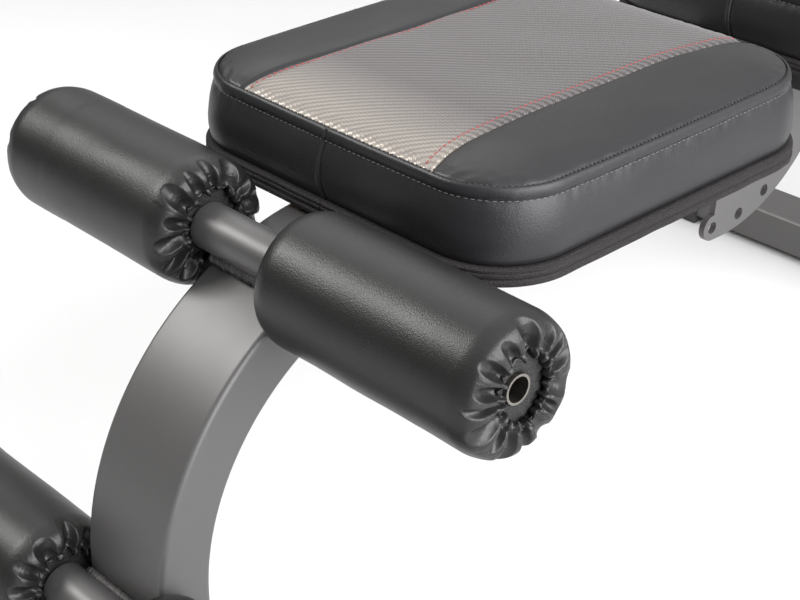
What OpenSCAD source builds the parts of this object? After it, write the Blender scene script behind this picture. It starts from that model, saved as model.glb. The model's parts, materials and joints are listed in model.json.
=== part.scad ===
// Adjustable weight bench: curved tube frame, tilting seat, reclining backrest,
// two pairs of foam leg rollers and two transport wheels.
// Millimetres. +Z is up, the floor is Z = 0, the roller end points to -Y.
// The origin is on the floor in the middle of the bench's overall size.

/* [Main frame] */
// Width of the frame tube, across the bench
tube_width = 80; // [76:1:80]
// Depth of the frame tube
tube_depth = 40; // [38:1:42]
// Wall of the frame tube
tube_wall = 2.5; // [2:0.1:3]
// Outside corner radius of the frame tube
tube_corner = 4; // [3:0.5:5]
// Outer bending radius of both curved tubes
arch_radius = 208; // [204:1:212]
// Distance from the origin to the centre of the front bend
front_bend_y = 432; // [430:1:436]
// Distance from the origin to the centre of the rear bend
rear_bend_y = 172; // [165:1:180]
// Height of both bend centres above the floor
bend_z = 164; // [160:1:166]

/* [Cross feet] */
// Width of a foot tube, along the bench
foot_width = 60; // [56:1:62]
// Height of a foot tube
foot_height = 40; // [36:1:44]
// Length of the front foot tube
front_foot_length = 400; // [380:10:440]
// Length of the rear foot tube
rear_foot_length = 560; // [480:10:600]
// Length of tube covered by each rubber shoe
shoe_grip = 14; // [10:1:18]
// Thickness of a shoe beyond the tube's end
shoe_end = 15; // [8:1:20]
// Wall of a shoe round the tube
shoe_wall = 4; // [3:0.5:5]
// Gap between a foot tube and the floor
foot_lift = 8; // [6:1:9]
// Thickness of the plate under each leg
leg_plate = 6; // [5:1:8]

/* [Leg rollers] */
// Outside radius of a roller cover
roller_radius = 45; // [43:0.5:46]
// Length of a roller over its cover
roller_length = 190; // [180:1:196]
// Distance from the middle of the bench to a roller's inner rim
roller_start = 42; // [42:0.5:44]
// Angle up the front bend at which the upper rollers sit
roller_angle = 67; // [66:0.5:68]
// Height of the lower roller bar
lower_roller_z = 150; // [145:1:155]
// Radius of the roller bar
bar_radius = 9.5; // [9:0.1:10]
// Wall of the roller bar
bar_wall = 1.5; // [1:0.1:2]
// Outside radius of the welded sleeve
sleeve_radius = 16; // [15:0.5:17]
// Half of the sleeve's length
sleeve_half = 48; // [46:0.5:49]
// Depth of the foam's end below the cover's rim
foam_recess = 10; // [9:0.5:12]
// Thickness of the roller cover
cover_wall = 1.6; // [1.2:0.1:2]

/* [Seat] */
// Width of the seat cushion
seat_width = 310; // [290:2:320]
// Length of the seat cushion
seat_length = 326; // [320:1:328]
// Rear edge of the seat cushion, ahead of the origin
seat_rear = 135; // [134:1:137]
// Corner radius of the seat cushion
seat_corner = 54; // [40:1:60]
// Thickness of both cushions
cushion_height = 56; // [50:1:58]
// Greatest tilt of the seat
seat_tilt_step = 5; // [4:0.5:5]

/* [Backrest] */
// Width of the backrest cushion
back_width = 270; // [250:2:280]
// Length of the backrest cushion
back_length = 722; // [700:1:723]
// Front edge of the backrest cushion, ahead of the origin
back_front = 25; // [20:1:25]
// Corner radius of the backrest cushion
back_corner = 45; // [36:1:55]
// Angle between two backrest positions
back_step = 15; // [12:0.5:15]

/* [Boards and trim] */
// Thickness of the plywood boards
board_height = 12; // [10:1:12]
// Distance from a cushion's edge in to its board's edge
board_inset = 3; // [2:0.5:4]
// Height of the edge trim
trim_height = 13; // [12:0.5:14]
// Thickness of the edge trim
trim_wall = 8; // [5:0.5:8]

/* [Hidden] */
$fn = 64;
running = 0.05;
skin_gap = 0.3;

half_width = tube_width / 2;
bend_middle = arch_radius - tube_depth / 2;
rail_top = bend_z + arch_radius;
rail_bottom = rail_top - tube_depth;
front_leg_y = -front_bend_y - bend_middle;
rear_leg_y = rear_bend_y + bend_middle;
foot_top = foot_lift + foot_height;
leg_bottom = foot_top + leg_plate;
leg_plate_length = 150;
leg_bolt_x = 58;
leg_bolt_radius = 5;

roller_reach = arch_radius + sleeve_radius;
roller_y = -front_bend_y - roller_reach * cos(roller_angle);
roller_z = bend_z + roller_reach * sin(roller_angle);
lower_roller_y = front_leg_y - tube_depth / 2 - sleeve_radius;
sleeve_bore = sleeve_radius - 2.5;
bush_radius = sleeve_bore - running;
bush_length = 20;
bar_half = roller_start + roller_length - foam_recess + 2.5;
foam_radius = roller_radius - cover_wall - skin_gap;
rim_radius = 22;
shoulder = 12;

board_bottom = rail_top + 4;
board_top = board_bottom + board_height;
trim_bottom = board_bottom - 3;
trim_grow = trim_wall - board_inset;
bracket_wall = 3;
bracket_gap = 1.5;
flange_inner = half_width + bracket_gap;
flange_bottom = board_bottom - 20;
seat_front = seat_rear + seat_length;
seat_pivot_y = -seat_rear + trim_grow;
seat_pivot_z = rail_top - tube_depth / 2;
seat_bracket_front = seat_front - 40;
seat_pin_y = seat_pivot_y - 170;
pin_z = rail_bottom + 10;
pivot_radius = 6;
pivot_bore = pivot_radius + running;
pivot_hub = 14;

ear_wall = 5;
back_pivot_y = -back_front - 55;
back_pivot_z = rail_top + sleeve_radius;
back_hub = 18;
back_pin_y = back_pivot_y + 125;
back_pin_reach = norm([back_pin_y - back_pivot_y, pin_z - back_pivot_z]);
back_pin_angle = atan2(pin_z - back_pivot_z, back_pin_y - back_pivot_y);
back_steps = 5;
back_tube_width = 40;
back_tube_height = 20;
back_tube_start = -back_front + 15;
back_tube_end = -back_front + 625;
back_tube_inner = flange_inner + ear_wall;
back_tube_middle = back_tube_inner + back_tube_width / 2;
back_tube_bottom = board_bottom - back_tube_height;
back_screw_places = [20, 300, 560];
seat_pin_reach = norm([seat_pin_y - seat_pivot_y, pin_z - seat_pivot_z]);
seat_pin_angle = atan2(pin_z - seat_pivot_z, seat_pin_y - seat_pivot_y);
seat_steps = 3;

washer_wall = 1.6;
washer_gap = 0.4;
back_bolt_half = flange_inner + ear_wall + washer_gap + washer_wall;
seat_bolt_half = flange_inner + bracket_wall + washer_gap + washer_wall;

pin_radius = 5;
pin_travel = 14;
pin_tip = flange_inner - 8;
housing_radius = 9;
housing_length = 22;
knob_radius = 13;
knob_length = 24;
knob_start = half_width + housing_length + pin_travel + 1;

rest_y = 122;
rest_width = 26;
rest_out = 44;
pad_height = 9;

wheel_radius = 25;
wheel_width = 22;
wheel_x = 150;
wheel_y = front_leg_y - foot_width / 2 - wheel_radius - 2;
wheel_z = foot_lift + wheel_radius;
wheel_axle = 4;
wheel_hub = 18;
wheel_ear = 4;
wheel_gap = 2;

steel_grey = [0.22, 0.22, 0.23];
bare_steel = [0.72, 0.72, 0.73];
soft_black = [0.07, 0.07, 0.07];
foam_grey = [0.16, 0.16, 0.17];
silver_cloth = [0.60, 0.59, 0.56];
ply = [0.72, 0.56, 0.38];
plastic_black = [0.05, 0.05, 0.05];

// ---- profiles ----

// Rectangle with round corners, centred on the origin.
module round_rect(width, height, corner) {
  square([width - 2 * corner, height], center = true);
  square([width, height - 2 * corner], center = true);
  for (sx = [-1, 1]) {
    for (sy = [-1, 1]) {
      translate([sx * (width / 2 - corner), sy * (height / 2 - corner)])
        circle(r = corner);
    }
  }
}

// Wall of a rectangular tube.
module tube_profile(width, height, wall, corner) {
  difference() {
    round_rect(width, height, corner);
    round_rect(width - 2 * wall, height - 2 * wall, corner - wall / 2);
  }
}

// Straight rectangular tube along Y, from y0 to y1, its middle at the height z.
module tube_y(y0, y1, z, width, height, wall, corner) {
  translate([0, y1, z])
    rotate([90, 0, 0])
      linear_extrude(height = y1 - y0)
        tube_profile(width, height, wall, corner);
}

// Quarter bend of the frame tube. The angle starts at the floor side and turns about X.
module bend(middle_y, start_angle) {
  translate([0, middle_y, bend_z])
    rotate([0, 90, 0])
      rotate_extrude(angle = 90, start = start_angle, $fn = 128)
        translate([bend_middle, 0])
          tube_profile(tube_depth, tube_width, tube_wall, tube_corner);
}

// Round bar along X between x0 and x1.
module bar_x(x0, x1, y, z, radius) {
  translate([x0, y, z])
    rotate([0, 90, 0])
      cylinder(r = radius, h = x1 - x0);
}

// Hexagon along X between x0 and x1.
module hex_x(x0, x1, y, z, radius) {
  translate([x0, y, z])
    rotate([0, 90, 0])
      cylinder(r = radius, h = x1 - x0, $fn = 6);
}

// Flat plate across X: a profile drawn with Y to the right and Z up, about the point y, z.
module plate_x(x0, x1, y, z) {
  translate([x0, y, z])
    rotate([90, 0, 90])
      linear_extrude(height = x1 - x0)
        children();
}

// Both sides of the bench: the child and its mirror image.
module both_sides() {
  children();
  mirror([1, 0, 0])
    children();
}

// ---- frame tubes ----

module front_bend() {
  color(steel_grey)
    bend(-front_bend_y, 180);
}

module rear_bend() {
  color(steel_grey)
    bend(rear_bend_y, 90);
}

module main_rail() {
  color(steel_grey)
    difference() {
      tube_y(-front_bend_y, rear_bend_y, rail_top - tube_depth / 2,
             tube_width, tube_depth, tube_wall, tube_corner);
      bar_x(-tube_width, tube_width, seat_pivot_y, seat_pivot_z, pivot_bore);
      bar_x(-tube_width, tube_width, seat_pin_y, pin_z, pin_radius + running);
      bar_x(-tube_width, tube_width, back_pin_y, pin_z, pin_radius + running);
    }
}

// Upright tube between a foot plate and the end of a bend.
module leg(y) {
  translate([0, y, leg_bottom])
    linear_extrude(height = bend_z - leg_bottom)
      tube_profile(tube_width, tube_depth, tube_wall, tube_corner);
}

module legs() {
  color(steel_grey) {
    leg(front_leg_y);
    leg(rear_leg_y);
  }
}

// ---- cross feet ----

module foot_tube(y, length) {
  difference() {
    translate([-length / 2, y, foot_lift + foot_height / 2])
      rotate([90, 0, 90])
        linear_extrude(height = length)
          tube_profile(foot_width, foot_height, tube_wall, tube_corner);
    both_sides()
      translate([leg_bolt_x, y, foot_top - tube_wall * 2])
        cylinder(r = leg_bolt_radius + running, h = tube_wall * 3);
  }
}

module front_foot_tube() {
  color(steel_grey)
    foot_tube(front_leg_y, front_foot_length);
}

module rear_foot_tube() {
  color(steel_grey)
    foot_tube(rear_leg_y, rear_foot_length);
}

// Rubber shoe over the +X end of a foot tube, thicker below, where it stands on the floor.
module shoe(y, length) {
  shoe_width = foot_width + 2 * shoe_wall;
  shoe_height = foot_top + shoe_wall;
  inner = length / 2;
  difference() {
    translate([inner - shoe_grip, y, shoe_height / 2])
      rotate([90, 0, 90])
        linear_extrude(height = shoe_grip + shoe_end)
          round_rect(shoe_width, shoe_height, tube_corner + 1);
    translate([inner - shoe_grip - 1, y, foot_lift + foot_height / 2])
      rotate([90, 0, 90])
        linear_extrude(height = shoe_grip + 1)
          round_rect(foot_width, foot_height, tube_corner);
  }
}

module front_shoes() {
  color(plastic_black)
    both_sides()
      shoe(front_leg_y, front_foot_length);
}

module rear_shoes() {
  color(plastic_black)
    both_sides()
      shoe(rear_leg_y, rear_foot_length);
}

// Plate welded under a leg and bolted to the foot tube.
module leg_plate_at(y) {
  difference() {
    translate([0, y, foot_top])
      linear_extrude(height = leg_plate)
        round_rect(leg_plate_length, foot_width - 6, 8);
    both_sides()
      translate([leg_bolt_x, y, foot_top - 1])
        cylinder(r = leg_bolt_radius + running, h = leg_plate + 2);
  }
}

// Two hexagon bolts through a leg plate and the top wall of its foot tube.
module leg_bolts_at(y) {
  both_sides()
    translate([leg_bolt_x, y, leg_bottom]) {
      cylinder(r = 9.5, h = 6, $fn = 6);
      translate([0, 0, -20])
        cylinder(r = leg_bolt_radius, h = 20);
    }
}

// Two nuts under the top wall of a foot tube.
module leg_nuts_at(y) {
  both_sides()
    translate([leg_bolt_x, y, foot_top - tube_wall - 8])
      difference() {
        cylinder(r = 9.5, h = 8, $fn = 6);
        translate([0, 0, -1])
          cylinder(r = leg_bolt_radius + running, h = 10);
      }
}

module leg_plates() {
  color(steel_grey) {
    leg_plate_at(front_leg_y);
    leg_plate_at(rear_leg_y);
  }
}

module leg_bolts() {
  color(bare_steel) {
    leg_bolts_at(front_leg_y);
    leg_bolts_at(rear_leg_y);
  }
}

module leg_nuts() {
  color(bare_steel) {
    leg_nuts_at(front_leg_y);
    leg_nuts_at(rear_leg_y);
  }
}

// ---- leg rollers ----

// Short tube across the bench that holds a roller bar.
module sleeve_at(y, z) {
  difference() {
    bar_x(-sleeve_half, sleeve_half, y, z, sleeve_radius);
    bar_x(-sleeve_half - 1, sleeve_half + 1, y, z, sleeve_bore);
  }
}

module upper_sleeve() {
  color(steel_grey)
    sleeve_at(roller_y, roller_z);
}

module lower_sleeve() {
  color(steel_grey)
    sleeve_at(lower_roller_y, lower_roller_z);
}

// Plastic bush in each end of a sleeve.
module bushes_at(y, z) {
  both_sides()
    difference() {
      bar_x(sleeve_half - bush_length, sleeve_half, y, z, bush_radius);
      bar_x(sleeve_half - bush_length - 1, sleeve_half + 1, y, z, bar_radius + running);
    }
}

module bar_bushes() {
  color(plastic_black) {
    bushes_at(roller_y, roller_z);
    bushes_at(lower_roller_y, lower_roller_z);
  }
}

// Thin tube that carries a left and a right roller.
module roller_bar_at(y, z) {
  difference() {
    bar_x(-bar_half, bar_half, y, z, bar_radius);
    bar_x(-bar_half - 1, bar_half + 1, y, z, bar_radius - bar_wall);
  }
}

module upper_bar() {
  color(bare_steel)
    roller_bar_at(roller_y, roller_z);
}

module lower_bar() {
  color(bare_steel)
    roller_bar_at(lower_roller_y, lower_roller_z);
}

// Foam core of the +X roller.
module foam_core(y, z) {
  core_length = roller_length - 2 * foam_recess;
  core_corner = 6;
  translate([roller_start + foam_recess, y, z])
    rotate([0, 90, 0])
      rotate_extrude()
        difference() {
          union() {
            square([foam_radius - core_corner, core_length]);
            translate([0, core_corner])
              square([foam_radius, core_length - 2 * core_corner]);
            for (end = [core_corner, core_length - core_corner]) {
              translate([foam_radius - core_corner, end])
                circle(r = core_corner);
            }
          }
          translate([-1, -1])
            square([bar_radius + running + 1, core_length + 2]);
        }
}

// Outline of half a roller body: full radius, round shoulders, flat ends.
module roller_outline(radius, length, corner) {
  square([radius - corner, length]);
  translate([0, corner])
    square([radius, length - 2 * corner]);
  for (end = [corner, length - corner]) {
    translate([radius - corner, end])
      circle(r = corner);
  }
}

// Cover of the +X roller: a skin round the foam with a round opening at each end.
module cover_skin(y, z) {
  translate([roller_start, y, z])
    rotate([0, 90, 0])
      rotate_extrude()
        difference() {
          roller_outline(roller_radius, roller_length, shoulder);
          translate([0, cover_wall])
            roller_outline(roller_radius - cover_wall,
                           roller_length - 2 * cover_wall,
                           shoulder - cover_wall);
          translate([-1, -1])
            square([rim_radius + 1, roller_length + 2]);
        }
}

module upper_foam_left() {
  color(foam_grey)
    mirror([1, 0, 0])
      foam_core(roller_y, roller_z);
}

module upper_foam_right() {
  color(foam_grey)
    foam_core(roller_y, roller_z);
}

module lower_foam_left() {
  color(foam_grey)
    mirror([1, 0, 0])
      foam_core(lower_roller_y, lower_roller_z);
}

module lower_foam_right() {
  color(foam_grey)
    foam_core(lower_roller_y, lower_roller_z);
}

module upper_cover_left() {
  color(soft_black)
    mirror([1, 0, 0])
      cover_skin(roller_y, roller_z);
}

module upper_cover_right() {
  color(soft_black)
    cover_skin(roller_y, roller_z);
}

module lower_cover_left() {
  color(soft_black)
    mirror([1, 0, 0])
      cover_skin(lower_roller_y, lower_roller_z);
}

module lower_cover_right() {
  color(soft_black)
    cover_skin(lower_roller_y, lower_roller_z);
}

// ---- cushions, boards and trim ----

// Cushion with round corners in plan and a round upper edge, centred in X and Y.
module cushion(width, length, corner, height) {
  edge = 14;
  for (sx = [-1, 1]) {
    for (sy = [-1, 1]) {
      translate([sx * (width / 2 - corner), sy * (length / 2 - corner), 0])
        rotate_extrude() {
          square([corner, height - edge]);
          square([corner - edge, height]);
          translate([corner - edge, height - edge])
            intersection() {
              circle(r = edge);
              translate([-corner, -edge])
                square([2 * corner, 2 * edge]);
            }
        }
    }
  }
  translate([-width / 2 + corner, 0, 0])
    rotate([90, 0, 90])
      linear_extrude(height = width - 2 * corner)
        cushion_section(length, height, edge);
  translate([0, length / 2 - corner, 0])
    rotate([90, 0, 0])
      linear_extrude(height = length - 2 * corner)
        cushion_section(width, height, edge);
}

// Upright section through a cushion.
module cushion_section(width, height, edge) {
  translate([-width / 2, 0])
    square([width, height - edge]);
  translate([-width / 2 + edge, 0])
    square([width - 2 * edge, height]);
  for (side = [-1, 1]) {
    translate([side * (width / 2 - edge), height - edge])
      circle(r = edge);
  }
}

// Flat board under a cushion, centred in X and Y.
module board(width, length, corner) {
  translate([0, 0, board_bottom])
    linear_extrude(height = board_height)
      round_rect(width - 2 * board_inset, length - 2 * board_inset, corner - board_inset);
}

// Edge trim round a board.
module trim(width, length, corner) {
  translate([0, 0, trim_bottom])
    linear_extrude(height = trim_height)
      difference() {
        round_rect(width + 2 * trim_grow, length + 2 * trim_grow, corner + trim_grow);
        round_rect(width - 2 * board_inset, length - 2 * board_inset, corner - board_inset);
      }
}

module at_seat() {
  translate([0, -seat_rear - seat_length / 2, 0])
    children();
}

module at_back() {
  translate([0, -back_front + back_length / 2, 0])
    children();
}

module seat_cushion() {
  color(silver_cloth)
    at_seat()
      translate([0, 0, board_top])
        cushion(seat_width, seat_length, seat_corner, cushion_height);
}

module back_cushion() {
  color(silver_cloth)
    at_back()
      translate([0, 0, board_top])
        cushion(back_width, back_length, back_corner, cushion_height);
}

module seat_board() {
  color(ply)
    difference() {
      at_seat()
        board(seat_width, seat_length, seat_corner);
      seat_screw_bores();
    }
}

module back_board() {
  color(ply)
    difference() {
      at_back()
        board(back_width, back_length, back_corner);
      back_screw_bores();
    }
}

module seat_trim() {
  color(soft_black)
    at_seat()
      trim(seat_width, seat_length, seat_corner);
}

module back_trim() {
  color(soft_black)
    at_back()
      trim(back_width, back_length, back_corner);
}

// ---- seat bracket ----

module seat_bracket_plate() {
  plate_end = seat_rear + board_inset;
  color(steel_grey)
    difference() {
      translate([-flange_inner - bracket_wall, -seat_bracket_front, board_bottom - bracket_wall])
        cube([2 * (flange_inner + bracket_wall), seat_bracket_front - plate_end, bracket_wall]);
      seat_screw_bores();
    }
}

// The space that the seat screws take up.
module seat_screw_bores() {
  for (y = [seat_bracket_front - 30, seat_bracket_front - 200]) {
    both_sides()
      translate([24, -y, board_bottom - bracket_wall])
        cylinder(r = 3, h = bracket_wall + board_height - 3);
  }
}

// Side of the seat bracket without its locking holes, about the seat pivot.
module flange_profile() {
  front = -seat_bracket_front - seat_pivot_y;
  bottom = flange_bottom - seat_pivot_z;
  top = board_bottom - bracket_wall - seat_pivot_z;
  translate([front, bottom])
    square([-front - 5, top - bottom]);
  translate([-pivot_hub - 5, 0])
    square([pivot_hub, top]);
  circle(r = pivot_hub);
}

module seat_flange_left() {
  color(steel_grey)
    plate_x(-flange_inner - bracket_wall, -flange_inner, seat_pivot_y, seat_pivot_z)
      difference() {
        flange_profile();
        circle(r = pivot_bore);
      }
}

// Right side of the seat bracket, with a row of locking holes round the pivot.
module seat_flange_right() {
  margin = 4.5;
  band = 13;
  low_angle = seat_pin_angle + seat_steps * seat_tilt_step + margin;
  high_angle = seat_pin_angle - 2 * margin;
  far = 400;
  color(steel_grey)
    plate_x(flange_inner, flange_inner + bracket_wall, seat_pivot_y, seat_pivot_z)
      difference() {
        union() {
          flange_profile();
          intersection() {
            difference() {
              circle(r = seat_pin_reach + band, $fn = 128);
              circle(r = seat_pin_reach - band, $fn = 128);
            }
            polygon([
              [0, 0],
              [far * cos(high_angle), far * sin(high_angle)],
              [far * cos(low_angle), far * sin(low_angle)]
            ]);
          }
        }
        circle(r = pivot_bore);
        for (step = [0 : seat_steps]) {
          rotate(seat_pin_angle + step * seat_tilt_step)
            translate([seat_pin_reach, 0])
              circle(r = pin_radius + running);
        }
      }
}

// Four screws up through the bracket plate into the seat board.
module seat_screws() {
  color(bare_steel)
    seat_screw_bores();
}

// ---- backrest frame ----

module back_tube() {
  difference() {
    translate([back_tube_middle, 0, 0])
      tube_y(back_tube_start, back_tube_end, board_bottom - back_tube_height / 2,
             back_tube_width, back_tube_height, 2, 3);
    back_screw_bores();
  }
}

module back_tube_left() {
  color(steel_grey)
    mirror([1, 0, 0])
      back_tube();
}

module back_tube_right() {
  color(steel_grey)
    back_tube();
}

// Plug in each open end of the two backrest tubes.
module back_tube_plugs() {
  color(plastic_black)
    both_sides()
      for (end = [back_tube_start, back_tube_end + 3]) {
        translate([back_tube_middle, end, board_bottom - back_tube_height / 2])
          rotate([90, 0, 0])
            linear_extrude(height = 3)
              round_rect(back_tube_width, back_tube_height, 3);
      }
}

// Cross tube between the two backrest tubes, its middle at y.
module cross_tube_at(y) {
  translate([-back_tube_inner, y, board_bottom - back_tube_height / 2])
    rotate([90, 0, 90])
      linear_extrude(height = 2 * back_tube_inner)
        tube_profile(30, back_tube_height, 2, 3);
}

module back_cross_tubes() {
  color(steel_grey) {
    cross_tube_at(back_tube_end - 310);
    cross_tube_at(back_tube_end - 40);
  }
}

// Arm between the backrest hub and the side of a backrest tube, about the pivot.
module arm_profile() {
  low = back_tube_bottom - back_pivot_z;
  high = board_bottom - back_pivot_z;
  start = back_tube_start - back_pivot_y;
  circle(r = back_hub);
  polygon([
    [-back_hub * 0.5, -back_hub * 0.8],
    [start, low],
    [start + 90, low],
    [start + 90, high],
    [back_hub * 2, high],
    [back_hub * 0.4, back_hub * 0.9]
  ]);
}

// Shallow notch in the top of an arm, where the backrest trim passes over it.
module trim_notch() {
  room = 0.5;
  translate([-back_front - trim_grow - room - back_pivot_y, trim_bottom - room - back_pivot_z])
    square([trim_wall + 2 * room, trim_height]);
}

module back_arm_left() {
  color(steel_grey)
    plate_x(-flange_inner - ear_wall, -flange_inner, back_pivot_y, back_pivot_z)
      difference() {
        arm_profile();
        trim_notch();
        circle(r = pivot_bore);
      }
}

// Right arm with the locking sector: one hole for each backrest position.
module back_sector() {
  margin = 6.5;
  band = 11;
  last = back_pin_angle - back_steps * back_step;
  far = 400;
  color(steel_grey)
    plate_x(flange_inner, flange_inner + ear_wall, back_pivot_y, back_pivot_z)
      difference() {
        union() {
          arm_profile();
          intersection() {
            circle(r = back_pin_reach + band, $fn = 128);
            polygon([
              [0, 0],
              [far * cos(last), far * sin(last)],
              [far, -far],
              [far, far * sin(back_pin_angle + margin)],
              [back_pin_reach + band, board_bottom - back_pivot_z - 3],
              [back_hub * 2, board_bottom - back_pivot_z]
            ]);
          }
          rotate(last)
            translate([back_pin_reach, 0])
              circle(r = band);
        }
        trim_notch();
        circle(r = pivot_bore);
        for (step = [0 : back_steps]) {
          rotate(back_pin_angle - step * back_step)
            translate([back_pin_reach, 0])
              circle(r = pin_radius + running);
        }
        for (angle = [-42, -72]) {
          rotate(angle)
            translate([back_pin_reach * 0.56, 0])
              circle(r = 16);
        }
      }
}

// The space that the shanks of the backrest screws take up.
module back_screw_bores() {
  for (y = back_screw_places) {
    both_sides()
      translate([back_tube_middle, back_tube_start + y, back_tube_bottom])
        cylinder(r = 3, h = back_tube_height + board_height - 3);
  }
}

// Six screws up through the backrest tubes into the board.
module back_screws() {
  color(bare_steel) {
    back_screw_bores();
    for (y = back_screw_places) {
      both_sides()
        translate([back_tube_middle, back_tube_start + y, back_tube_bottom - 4])
          cylinder(r = 6.5, h = 4);
    }
  }
}

// ---- pivots ----

module back_barrel() {
  color(steel_grey)
    difference() {
      bar_x(-half_width, half_width, back_pivot_y, back_pivot_z, sleeve_radius);
      bar_x(-tube_width, tube_width, back_pivot_y, back_pivot_z, pivot_bore);
    }
}

// Hexagon bolt across the bench with its head on the +X side.
module cross_bolt(y, z, half) {
  bar_x(-half - 16, half, y, z, pivot_radius);
  hex_x(half, half + 7.5, y, z, 10.5);
}

// Nut on the -X end of a cross bolt, with a domed cap.
module cross_nut(y, z, half) {
  difference() {
    union() {
      hex_x(-half - 10, -half, y, z, 10.5);
      bar_x(-half - 19, -half - 10, y, z, 8.5);
    }
    bar_x(-half - 17, -half + 1, y, z, pivot_bore);
  }
}

// Washer on each side of a pivot.
module washers_at(y, z, inside) {
  both_sides()
    difference() {
      bar_x(inside, inside + washer_wall, y, z, 12);
      bar_x(inside - 1, inside + washer_wall + 1, y, z, pivot_bore);
    }
}

module pivot_bolts() {
  color(bare_steel) {
    cross_bolt(back_pivot_y, back_pivot_z, back_bolt_half);
    cross_bolt(seat_pivot_y, seat_pivot_z, seat_bolt_half);
  }
}

module pivot_nuts() {
  color(bare_steel) {
    cross_nut(back_pivot_y, back_pivot_z, back_bolt_half);
    cross_nut(seat_pivot_y, seat_pivot_z, seat_bolt_half);
  }
}

module pivot_washers() {
  color(bare_steel) {
    washers_at(back_pivot_y, back_pivot_z, back_bolt_half - washer_wall);
    washers_at(seat_pivot_y, seat_pivot_z, seat_bolt_half - washer_wall);
  }
}

// Spacer tube inside the rail, round the seat's pivot bolt.
module seat_pivot_spacer() {
  inside = half_width - tube_wall;
  color(bare_steel)
    difference() {
      bar_x(-inside, inside, seat_pivot_y, seat_pivot_z, 9);
      bar_x(-inside - 1, inside + 1, seat_pivot_y, seat_pivot_z, pivot_bore);
    }
}

// ---- locking pins ----

// Threaded housing welded to the rail's -X side.
module housing_at(y) {
  difference() {
    union() {
      bar_x(-half_width - housing_length, -half_width, y, pin_z, housing_radius);
      hex_x(-half_width - 8, -half_width - 2, y, pin_z, housing_radius + 1);
    }
    bar_x(-half_width - housing_length - 1, -half_width + 1, y, pin_z, pin_radius + running);
  }
}

module pin_housings() {
  color(bare_steel) {
    housing_at(seat_pin_y);
    housing_at(back_pin_y);
  }
}

// Locking pin in its parked place, its tip still inside the rail.
module pin_at(y) {
  bar_x(-knob_start - knob_length + 8, pin_tip, y, pin_z, pin_radius);
}

module seat_pin() {
  color(bare_steel)
    pin_at(seat_pin_y);
}

module back_pin() {
  color(bare_steel)
    pin_at(back_pin_y);
}

// Round pull knob on the -X end of a locking pin.
module knob_at(y) {
  round_edge = 5;
  translate([-knob_start, y, pin_z])
    rotate([0, -90, 0])
      difference() {
        rotate_extrude() {
          square([knob_radius - round_edge, knob_length]);
          translate([0, round_edge])
            square([knob_radius, knob_length - 2 * round_edge]);
          for (end = [round_edge, knob_length - round_edge]) {
            translate([knob_radius - round_edge, end])
              circle(r = round_edge);
          }
        }
        translate([0, 0, -1])
          cylinder(r = pin_radius, h = knob_length - 8 + 1);
      }
}

module seat_knob() {
  color(plastic_black)
    knob_at(seat_pin_y);
}

module back_knob() {
  color(plastic_black)
    knob_at(back_pin_y);
}

// ---- rests ----

// Shelf on each side of the rail, with its top a pad's height under what it carries.
module shelves_at(y, top) {
  both_sides()
    translate([half_width, y - rest_width / 2, top - pad_height - 5])
      cube([rest_out, rest_width, 5]);
}

// Rubber pad on each shelf, just clear of what comes down on it.
module shelf_pads_at(y, top) {
  both_sides()
    translate([half_width + rest_out / 2 + 6, y, top - pad_height])
      cylinder(r = 11, h = pad_height - skin_gap);
}

module back_shelves() {
  color(steel_grey)
    shelves_at(rest_y, back_tube_bottom);
}

module back_shelf_pads() {
  color(soft_black)
    shelf_pads_at(rest_y, back_tube_bottom);
}

// ---- transport wheels ----

// Fork for the +X wheel: two ears on the front foot tube.
module wheel_fork() {
  reach = front_leg_y - foot_width / 2 - wheel_y;
  for (side = [-1, 1]) {
    near = side * (wheel_width / 2 + wheel_gap);
    plate_x(wheel_x + min(near, near + side * wheel_ear),
            wheel_x + max(near, near + side * wheel_ear), wheel_y, wheel_z)
      difference() {
        union() {
          circle(r = 11);
          translate([0, -11])
            square([reach, 22]);
        }
        circle(r = wheel_axle + running);
      }
  }
}

module wheel_forks() {
  color(steel_grey)
    both_sides()
      wheel_fork();
}

module wheel_axles() {
  half = wheel_width / 2 + wheel_gap + wheel_ear;
  color(bare_steel)
    both_sides() {
      bar_x(wheel_x - half - 6, wheel_x + half, wheel_y, wheel_z, wheel_axle);
      hex_x(wheel_x + half, wheel_x + half + 4, wheel_y, wheel_z, 7);
      hex_x(wheel_x - half - 4, wheel_x - half, wheel_y, wheel_z, 7);
    }
}

module hub_shape() {
  bar_x(wheel_x - wheel_width / 2, wheel_x + wheel_width / 2, wheel_y, wheel_z, 9);
  bar_x(wheel_x - wheel_width / 2 + 3, wheel_x + wheel_width / 2 - 3, wheel_y, wheel_z, wheel_hub);
}

// Plastic hub of the +X wheel.
module wheel_hub_shape() {
  difference() {
    hub_shape();
    bar_x(wheel_x - wheel_width, wheel_x + wheel_width, wheel_y, wheel_z, wheel_axle + running);
  }
}

// Rubber tyre of the +X wheel.
module wheel_tyre_shape() {
  tyre_depth = wheel_radius - wheel_hub;
  tyre_width = wheel_width - 6;
  tyre_round = 3;
  translate([wheel_x, wheel_y, wheel_z])
    rotate([0, 90, 0])
      rotate_extrude()
        translate([wheel_hub, 0]) {
          translate([0, -tyre_width / 2])
            square([tyre_depth - tyre_round, tyre_width]);
          translate([0, -tyre_width / 2 + tyre_round])
            square([tyre_depth, tyre_width - 2 * tyre_round]);
          for (side = [-1, 1]) {
            translate([tyre_depth - tyre_round, side * (tyre_width / 2 - tyre_round)])
              circle(r = tyre_round);
          }
        }
}

module wheel_hub_left() {
  color(plastic_black)
    mirror([1, 0, 0])
      wheel_hub_shape();
}

module wheel_hub_right() {
  color(plastic_black)
    wheel_hub_shape();
}

module wheel_tyre_left() {
  color(soft_black)
    mirror([1, 0, 0])
      wheel_tyre_shape();
}

module wheel_tyre_right() {
  color(soft_black)
    wheel_tyre_shape();
}

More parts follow.
